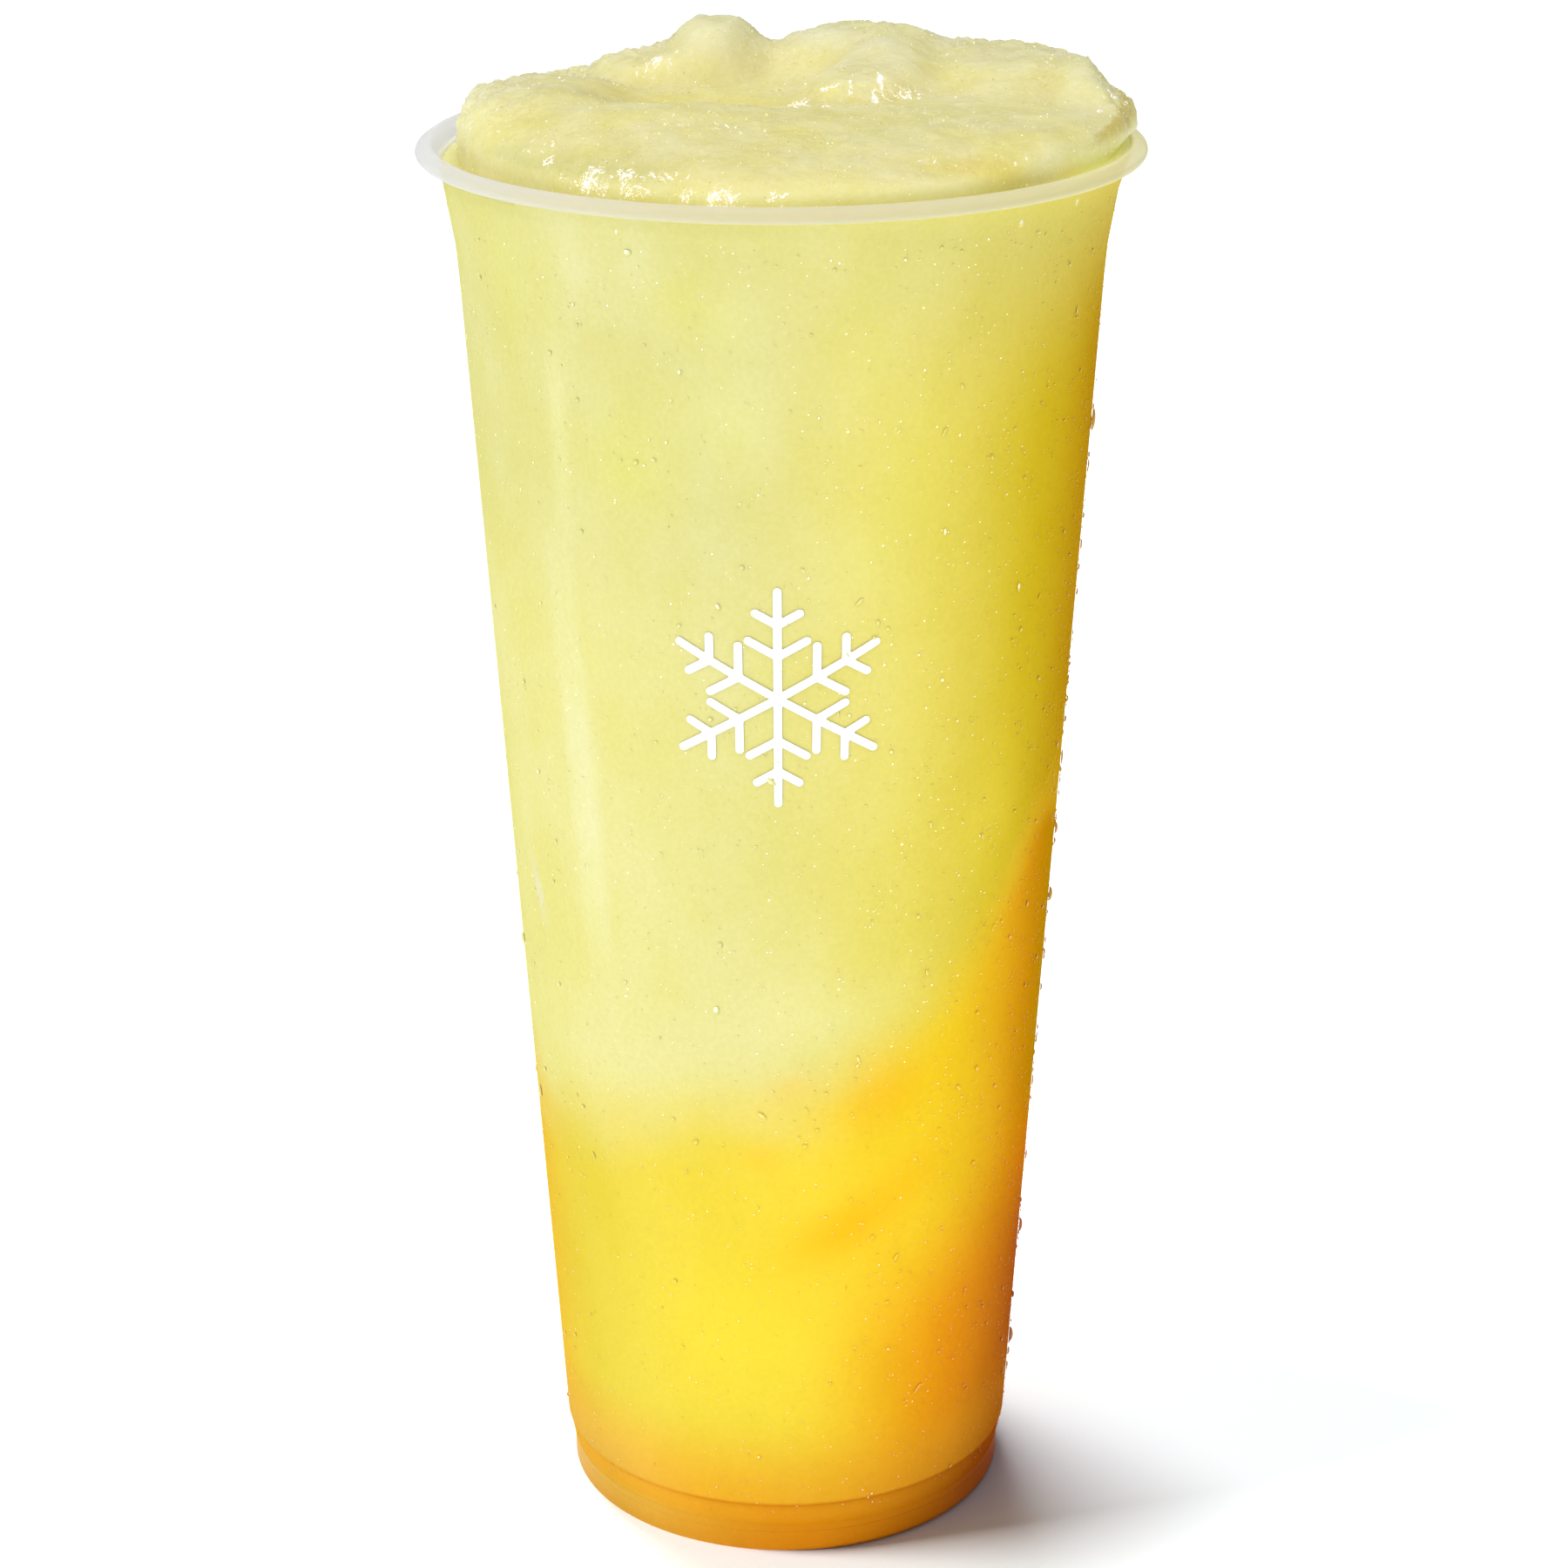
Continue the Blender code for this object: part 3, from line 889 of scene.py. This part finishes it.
# Clusters of ice that glitters on the heap: centre, half length, half width, turn and number of chains
GLITTER = (
    (-27.1, -28.7, 0.6, 0.7, 0, 12),
    (-28.4, -29.4, 0.2, 0.3, 0, 2),
    (-25.4, -32, 0.4, 0.8, 30, 6),
    (-21.9, -33.8, 1.2, 1, 40, 48),
    (-22.6, -34.4, 1.7, 0.6, -35, 90),
    (-20.6, -35.7, 0.9, 0.4, 0, 20),
    (-17.4, -37.5, 1.7, 0.4, -20, 56),
    (-18, -35.3, 1, 0.9, 0, 40),
    (-14.2, -36.5, 2, 0.4, -12, 22),
    (-10.8, -40, 1.1, 0.4, 0, 18),
    (-7.7, -40.8, 1.1, 0.5, 20, 48),
    (-6.2, -40.9, 1.1, 0.5, -20, 36),
    (-0.9, -41.2, 1, 0.4, 0, 16),
    (1.6, -8, 1.2, 2.4, 0, 84),
    (5.6, -6, 0.8, 0.5, 0, 16),
    (8.3, -6, 0.2, 1.1, 0, 8),
    (12, -3.6, 0.3, 1.6, 0, 40),
    (11.2, -7, 0.3, 1.2, 0, 30),
    (15, -4, 1.8, 1.2, 30, 30),
    (5, -11, 1, 1.2, 0, 5),
    (-15.4, 7.5, 2.6, 1.4, 0, 30),
    (-29, -24.5, 2.4, 2.6, 0, 9),
    (-8.5, -22, 5, 4, 0, 12),
    (39.5, -6, 1.2, 5, 0, 12),
    (24, -31, 8, 1.6, 10, 8),
)
CHAIN_SIZE = (0.055, 0.11)
CHAIN_LINKS = 7
CHAIN_STEP = 0.13
CHAIN_RISE = 1.6
CHAIN_TAPER = 0.1
CHAIN_BEND = 35
CHAIN_TURN = 50
CLUSTER_SPREAD = 0.6
LOOSE_COUNT = 260
LOOSE_RADIUS = 41
LOOSE_SMALL = 0.05
LOOSE_GROWTH = 0.09
CRYSTAL_SIZES = (0.7, 1.5)
RAY_START = 220
HEAP_LOW = 182


def crystal():
    """A small eight-sided crystal of ice."""
    points = np.array([(1, 0, 0), (-1, 0, 0), (0, 1, 0), (0, -1, 0), (0, 0, 1), (0, 0, -1)], float)
    faces = np.array([(0, 2, 4), (2, 1, 4), (1, 3, 4), (3, 0, 4), (2, 0, 5), (1, 2, 5), (3, 1, 5), (0, 3, 5)])
    return points, faces


def random_axes(source, count):
    """A random set of three directions at right angles for each copy."""
    first = unit(source.normal(size=(count, 3)))
    second = unit(np.cross(first, source.normal(size=(count, 3))))
    return np.stack((first, second, np.cross(first, second)), axis=1)


def on_heap(tree, x, y):
    """Places on the heap under the given points, and which of them are on it."""
    places = []
    kept = []
    for i, (px, py) in enumerate(zip(x, y)):
        spot = tree.ray_cast(Vector((px, py, RAY_START)) * MM, Vector((0, 0, -1)))[0]
        if spot is not None and spot.z > HEAP_LOW * MM:
            places.append(spot)
            kept.append(i)
    return np.array(places) / MM, np.array(kept)


def make_glitter(tree):
    """Wet ice that sparkles on the heap: clusters of short bent chains of crystals, and loose ones."""
    source = np.random.default_rng(GLITTER_SEED)
    spots = []
    for centre_x, centre_y, length, width, turn, count in GLITTER:
        along = source.normal(0, CLUSTER_SPREAD * length, count)
        across = source.normal(0, CLUSTER_SPREAD * width, count)
        heading = np.radians(source.normal(turn, CHAIN_TURN, count))
        x, y = turned(along, across, turn)
        x, y = centre_x + x, centre_y + y
        links = source.integers(2, CHAIN_LINKS, count)
        size = source.uniform(*CHAIN_SIZE, count)
        for step in range(CHAIN_LINKS):
            spots.append(np.column_stack((x, y, size * (1 - CHAIN_TAPER * step)))[step < links])
            x = x + CHAIN_STEP * np.cos(heading)
            y = y + CHAIN_STEP * CHAIN_RISE * np.sin(heading)
            heading = heading + np.radians(source.normal(0, CHAIN_BEND, count))
    turn = source.uniform(0, 2 * math.pi, LOOSE_COUNT)
    radius = LOOSE_RADIUS * np.sqrt(source.random(LOOSE_COUNT))
    size = LOOSE_SMALL + LOOSE_GROWTH * source.random(LOOSE_COUNT) ** 2
    spots.append(np.column_stack((*polar(radius, turn), size)))
    spots = np.vstack(spots)
    places, kept = on_heap(tree, spots[:, 0], spots[:, 1])
    count = len(places)
    sizes = spots[kept, 2:] * source.uniform(*CRYSTAL_SIZES, (count, 3))
    return scatter("ice_glitter", crystal(), places, random_axes(source, count), sizes, smooth=False)


# Fine grains of ice all over the heap, denser in patches: number, half sizes, highest place, and scatter off the heap
GRAIN_COUNT = 9500
GRAIN_SMALL = 0.06
GRAIN_LARGE = 0.17
GRAIN_LIMIT = 194.2
GRAIN_PATCH = 5
GRAIN_PATCH_SEED = 43
GRAIN_SHARE = 0.55
GRAIN_SCATTER = 0.08
GRAIN_SIZES = (0.6, 1.4)
# Painted light: a lift given to the grains' colour, then how much of the heap's colour they take and how far that
# varies
GRAIN_GLOW = 0.1
GRAIN_TINT = 0.85
GRAIN_TINTS = (0.85, 1.15)


def make_grains(slush):
    """Grains of ice in the heap's colour, half sunk in its surface and denser in patches."""
    mesh = slush.data
    source = np.random.default_rng(GRAIN_SEED)
    centres = read(mesh.polygons, "center") / MM
    open_to_air = read(mesh.polygons, "material_index", 1)[:, 0]
    weight = read(mesh.polygons, "area", 1)[:, 0] * open_to_air * (centres[:, 2] < GRAIN_LIMIT)
    chosen = source.choice(len(centres), GRAIN_COUNT, p=weight / weight.sum())
    patches = noise_at(centres[chosen], GRAIN_PATCH, GRAIN_PATCH_SEED)
    chosen = chosen[source.random(GRAIN_COUNT) < GRAIN_SHARE + patches]
    places = centres[chosen] + source.normal(0, GRAIN_SCATTER, (len(chosen), 3))
    size = GRAIN_SMALL + (GRAIN_LARGE - GRAIN_SMALL) * source.random(len(chosen)) ** 2
    shape = crystal()
    sizes = size[:, None] * source.uniform(*GRAIN_SIZES, (len(chosen), 3))
    made = scatter("ice_grains", shape, places, random_axes(source, len(chosen)), sizes)
    tint = GRAIN_GLOW + GRAIN_TINT * heap_colours(places) * source.uniform(*GRAIN_TINTS, (len(chosen), 1))
    store_tint(made.data, np.repeat(tint, len(shape[0]), axis=0))
    return made


# Snowflake printed in white on the front of the cup
PRINT_HEIGHT = 122
PRINT_ANGLE = -1
PRINT_TURN = 60
PRINT_ARM = 13.6
PRINT_LINE = 0.52
PRINT_CELL = 0.2
PRINT_LIFT = 0.03
PRINT_BRANCHES = ((5.4, 4), (9.4, 3))


def direction(angle):
    """A unit vector in the plane of the print, angle in degrees."""
    return Vector(turned(1, 0, angle))


def print_strokes():
    """Lines of the snowflake: six arms, each with two pairs of side twigs."""
    strokes = []
    for angle in range(90, 90 + 360, PRINT_TURN):
        arm = direction(angle)
        strokes.append((Vector((0, 0)), arm * PRINT_ARM))
        for start, length in PRINT_BRANCHES:
            for side in (-PRINT_TURN, PRINT_TURN):
                strokes.append((arm * start, arm * start + direction(angle + side) * length))
    return strokes


def print_distance(x, y):
    """Distance from the nearest stroke's edge, negative inside."""
    best = np.full(x.shape, 1e9)
    for start, end in print_strokes():
        span = end - start
        share = np.clip(((x - start.x) * span.x + (y - start.y) * span.y) / span.length_squared, 0, 1)
        best = np.minimum(best, np.hypot(x - start.x - share * span.x, y - start.y - share * span.y))
    return best - PRINT_LINE


def make_print():
    """The snowflake as a thin sheet of ink on the wall, cut from small cells along its edge."""
    steps = int((PRINT_ARM + 1) / PRINT_CELL)
    ticks = np.arange(-steps, steps + 1) * PRINT_CELL
    grid_x, grid_y = np.meshgrid(ticks, ticks, indexing="ij")
    depth = print_distance(grid_x, grid_y)
    points = []
    known = {}
    faces = []

    def point(first, second, share):
        """A point between two corners of a cell, made once."""
        key = (min(first, second), max(first, second))
        if key not in known:
            known[key] = len(points)
            points.append([grid[first] + share * (grid[second] - grid[first]) for grid in (grid_x, grid_y)])
        return known[key]

    for i in range(len(ticks) - 1):
        for j in range(len(ticks) - 1):
            corners = ((i, j), (i + 1, j), (i + 1, j + 1), (i, j + 1))
            if min(depth[c] for c in corners) >= 0:
                continue
            outline = []
            for k in range(4):
                here, there = corners[k], corners[(k + 1) % 4]
                if depth[here] < 0:
                    outline.append(point(here, here, 0))
                if (depth[here] < 0) != (depth[there] < 0):
                    outline.append(point(here, there, depth[here] / (depth[here] - depth[there])))
            faces.append(outline)
    flat = np.array(points)
    height = PRINT_HEIGHT + flat[:, 1]
    radius = outer_radius(height) + PRINT_LIFT
    turn = math.radians(PRINT_ANGLE) + flat[:, 0] / outer_radius(PRINT_HEIGHT)
    wrapped = np.column_stack((radius * np.sin(turn), -radius * np.cos(turn), height))
    return mesh_from("snowflake_print", wrapped * MM, faces)


# Heights in metres between which the cup turns milky and glossy towards the rim, and the two whites of the ink
MILKY_FROM = (0.1795, 0.1812)
GLOSSY_FROM = (0.178, 0.1815)
INKS = ((250, 250, 240), (255, 255, 252))
WHITE = (1, 1, 1, 1)


class Shader:
    """A material's node tree, with short calls to add nodes."""

    def __init__(self, name):
        self.material = bpy.data.materials.new(name)
        self.material.use_nodes = True
        self.tree = self.material.node_tree
        self.tree.nodes.clear()

    def add(self, kind, inputs=None, **settings):
        """Adds a node of a kind, sets its properties, and sets or links its inputs."""
        made = self.tree.nodes.new("ShaderNode" + kind)
        for name, value in settings.items():
            setattr(made, name, value)
        for key, value in (inputs or {}).items():
            if isinstance(value, bpy.types.NodeSocket):
                self.tree.links.new(value, made.inputs[key])
            else:
                made.inputs[key].default_value = value
        return made

    def math(self, operation, first, second):
        return self.add("Math", {0: first, 1: second}, operation=operation).outputs[0]

    def step(self, value, low, high, first=0, second=1):
        inputs = {0: value, 1: low, 2: high, 3: first, 4: second}
        return self.add("MapRange", inputs, interpolation_type="SMOOTHSTEP").outputs[0]

    def blend(self, factor, first, second, kind="MIX"):
        """Mixes two colours, either of which may be a socket."""
        return self.add("Mix", {0: factor, 6: first, 7: second}, data_type="RGBA", blend_type=kind).outputs[2]

    def place(self):
        return self.add("TexCoord").outputs["Object"]

    def stored(self, name, output="Color"):
        """A value that the mesh stores at each of its points."""
        return self.add("Attribute", attribute_name=name).outputs[output]

    def noise(self, place, scale, detail):
        """Noise of 0 to 1 with the given number of features a metre."""
        return self.add("TexNoise", {"Vector": place, "Scale": scale, "Detail": detail}).outputs["Fac"]

    def shaders(self, factor, first, second):
        return self.add("MixShader", {0: factor, 1: first, 2: second}).outputs[0]

    def output(self, surface):
        self.add("OutputMaterial", {"Surface": surface})
        return self.material

    def principled(self, colour, roughness, more=None):
        """Ends the tree with a Principled shader."""
        inputs = {"Base Color": colour, "Roughness": roughness, **(more or {})}
        return self.output(self.add("BsdfPrincipled", inputs).outputs[0])


def tinted(shader, place, clouds, grain):
    """The painted colour, mottled by soft clouds and a faint fine grain."""
    stretched = shader.add("Mapping", {"Vector": place, "Scale": (1, 1, 0.7)}).outputs[0]
    soft = shader.noise(stretched, clouds, 4)
    mottle = shader.blend(shader.step(soft, 0.3, 0.7), (0.98, 0.975, 0.86, 1), (1.02, 1.025, 1.13, 1))
    fine = shader.noise(place, grain, 3)
    speck = shader.blend(shader.step(fine, 0.3, 0.75), (0.98, 0.98, 0.94, 1), (1.02, 1.02, 1.06, 1))
    return shader.blend(1, shader.blend(1, shader.stored("tint"), mottle, "MULTIPLY"), speck, "MULTIPLY")


def wall_material(name, roughness, specular):
    """The painted drink as it lies against the wall, or the solid foot ring that takes up its colour."""
    shader = Shader(name)
    return shader.principled(tinted(shader, shader.place(), 75, 1600), roughness, {"Specular IOR Level": specular})


def heap_material():
    """Moist ice: soft light under its surface, a fine wet grain on it."""
    shader = Shader("slush_heap")
    place = shader.place()
    grain = shader.noise(place, 3200, 3)
    lumps = shader.noise(place, 900, 3)
    wet = shader.step(shader.noise(place, 420, 3), 0.35, 0.7, 0.35, 0.65)
    bump = shader.add("Bump", {"Height": lumps, "Strength": 0.4, "Distance": 0.0002})
    bump = shader.add("Bump", {"Height": grain, "Strength": 0.5, "Distance": 0.00012, "Normal": bump.outputs[0]})
    return shader.principled(tinted(shader, place, 160, 1400), wet, {
        "Normal": bump.outputs[0], "Specular IOR Level": 0.2,
        "Subsurface Weight": 1, "Subsurface Scale": 0.006, "Subsurface Radius": (1, 0.97, 0.88)})


def cup_material():
    """Thin clear plastic: a very faint mist, a milky rim, and a little gloss."""
    shader = Shader("clear_plastic")
    height = shader.add("SeparateXYZ", {0: shader.place()}).outputs[2]
    cover = shader.step(height, *MILKY_FROM, 0.004, 0.75)
    clear = shader.add("BsdfTransparent", {"Color": WHITE}).outputs[0]
    tint = shader.stored("tint")
    milky = shader.add("BsdfDiffuse", {"Color": tint}).outputs[0]
    through = shader.add("BsdfTranslucent", {"Color": tint}).outputs[0]
    body = shader.shaders(cover, clear, shader.shaders(0.4, milky, through))
    gloss = shader.add("BsdfGlossy", {"Roughness": shader.step(height, *GLOSSY_FROM, 0.22, 0.08)}).outputs[0]
    fresnel = shader.add("Fresnel", {"IOR": 1.46}).outputs[0]
    outside = shader.math("SUBTRACT", 1, shader.add("NewGeometry").outputs["Backfacing"])
    dull = shader.step(height, *GLOSSY_FROM, 0.012, 0.5)
    mirror = shader.math("MULTIPLY", shader.math("MINIMUM", fresnel, dull), outside)
    return shader.output(shader.shaders(mirror, body, gloss))


def print_material():
    """White ink."""
    shader = Shader("white_ink")
    fine = shader.noise(shader.place(), 900, 2)
    dark, light = [(*linear(ink).tolist(), 1) for ink in INKS]
    return shader.principled(shader.blend(fine, dark, light), 0.45)


def bead_material():
    """Condensation: beads that show the drink behind them, with a painted highlight that is white and glows a little
    where they would catch the light.
    """
    shader = Shader("condensation")
    painted_glint = shader.stored("painted_glint", "Fac")
    colour = shader.blend(painted_glint, shader.stored("tint"), (0.95, 0.95, 0.95, 1))
    return shader.principled(colour, 0.2, {
        "Specular IOR Level": 0.4, "Emission Color": WHITE, "Emission Strength": shader.math("MULTIPLY", painted_glint, 0.9)})


def grain_material():
    """Fine ice with a painted glow, in place of the light that passes through it."""
    shader = Shader("fine_ice")
    tint = shader.stored("tint")
    return shader.principled(tint, 0.3, {"Specular IOR Level": 0.4, "Emission Color": tint, "Emission Strength": 0.25})


def glitter_material():
    """Wet ice crystals: their sparkle is painted, as pale colours and a glow of their own."""
    shader = Shader("ice_crystals")
    spark = shader.step(shader.noise(shader.place(), 2500, 1), 0.38, 0.56)
    colour = shader.blend(spark, (0.7, 0.64, 0.68, 1), (0.97, 0.95, 1, 1))
    return shader.principled(colour, 0.2, {"Emission Color": (1, 0.97, 1, 1), "Emission Strength": 0.5})


def make_camera():
    """The camera that took the photograph's view, on the front of the drink."""
    data = bpy.data.cameras.new("camera")
    data.sensor_width = SENSOR
    data.lens = CAMERA_FOCAL_PIXELS / PHOTO_PIXELS * SENSOR
    data.clip_start, data.clip_end = CAMERA_CLIP
    camera = linked("camera", data)
    camera.matrix_world = (
        Matrix.Translation(Vector(CAMERA_PLACE) * MM)
        @ Matrix.Rotation(math.pi / 2 - CAMERA_TILT, 4, "X")
        @ Matrix.Rotation(-CAMERA_ROLL, 4, "Z")
    )
    bpy.context.scene.camera = camera


# Lights of the drink and of the floor: name, azimuth from the front to the right, elevation, distance, size and power
DRINK_LIGHTS = (
    ("key", -38, 40, 2.4, 1.8, 11.3),
    ("low_key", -40, 8, 2.4, 2, 7.6),
    ("fill", 42, 10, 2.4, 2, 5.9),
    ("overhead", -30, 80, 2.6, 3, 48.5),
    ("sparkle", -30, 40, 0.9, 0.06, 0.7),
)
FLOOR_LIGHTS = (
    ("floor_left", -80, 52, 3, 0.8, 84),
    ("floor_back", -158, 62, 3, 1.4, 99),
)
AIM = (0, 0, 0.1)
FLOOR_HALF = 6
FLOOR_DROP = 0.00002
FLOOR_COLOUR = (0.88, 0.94, 0.97, 1)
WORLD_COLOUR = (0.94, 0.98, 1.06, 1)
WORLD_STRENGTH = 0.2


def make_light(name, azimuth, elevation, distance, size, power, lit, blockers=None):
    """A square soft light for one set of objects, which all objects shade or only the blockers."""
    data = bpy.data.lights.new(name, "AREA")
    data.size = size
    data.energy = power
    light = linked(name, data)
    a, e = math.radians(azimuth), math.radians(elevation)
    toward = Vector((math.sin(a) * math.cos(e), -math.cos(a) * math.cos(e), math.sin(e)))
    light.location = Vector(AIM) + toward * distance
    light.rotation_mode = "QUATERNION"
    light.rotation_quaternion = toward.to_track_quat("Z", "Y")
    light.light_linking.receiver_collection = lit
    light.light_linking.blocker_collection = blockers


def make_studio(shading):
    """White floor and surroundings, and a soft key light from the upper left.

    The floor has two lights of its own, and only the given piece shades them, so that the shadow stays short.
    """
    floor_lit = bpy.data.collections.new("lit_floor")
    drink_lit = bpy.data.collections.new("lit_drink")
    corners = [(x * FLOOR_HALF, y * FLOOR_HALF, 0) for x, y in ((-1, -1), (1, -1), (1, 1), (-1, 1))]
    floor = mesh_from("floor", corners, [(0, 1, 2, 3)])
    floor.location.z = -FLOOR_DROP
    floor.data.materials.append(Shader("white_floor").principled(FLOOR_COLOUR, 0.7))
    for lit, state in ((floor_lit, "INCLUDE"), (drink_lit, "EXCLUDE")):
        lit.objects.link(floor)
        lit.collection_objects[0].light_linking.link_state = state
    world = bpy.data.worlds.new("studio")
    world.use_nodes = True
    surroundings = world.node_tree.nodes["Background"].inputs
    surroundings["Color"].default_value = WORLD_COLOUR
    surroundings["Strength"].default_value = WORLD_STRENGTH
    bpy.context.scene.world = world
    low_shade = bpy.data.collections.new("low_shade")
    low_shade.objects.link(shading)
    for row in DRINK_LIGHTS:
        make_light(*row, drink_lit)
    for row in FLOOR_LIGHTS:
        make_light(*row, floor_lit, low_shade)
    bpy.context.scene.view_settings.view_transform = "Standard"


make_camera()
layers_meet = boundary_rings()
slush = make_slush(layers_meet)
grain_the_heap(slush)
fruit = make_fruit_layer(layers_meet)
make_studio(fruit)
behind_wall = wall_material("drink_behind_wall", 0.8, 0)
heap_finish = heap_material()
for piece, node in ((slush, "slush"), (fruit, "fruit_layer")):
    paint(piece)
    piece.data.materials.append(behind_wall)
    piece.data.materials.append(heap_finish)
    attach(piece, "root")
    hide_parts(node)

cup = make_cup()
store_tint(cup.data, cup_colours(mesh_points(cup)))
cup.data.materials.append(cup_material())
cup.data.materials.append(wall_material("tinted_foot", 0.5, 0.06))
for face in cup.data.polygons:
    if face.center.z < FOOT_TINT_TOP * MM:
        face.material_index = 1
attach(cup, "root")
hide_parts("cup")

tree = BVHTree.FromPolygons([v.co for v in slush.data.vertices], [f.vertices for f in slush.data.polygons])
condensation = bead_material()
extras = (
    (make_grains(slush), "slush", grain_material()),
    (make_mist(), "cup", condensation),
    (make_beads(), "cup", condensation),
    (make_drops(), "cup", condensation),
    (make_print(), "cup", print_material()),
    (make_glitter(tree), "slush", glitter_material()),
)
for piece, slot, finish in extras:
    piece.data.materials.append(finish)
    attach(piece, "root")
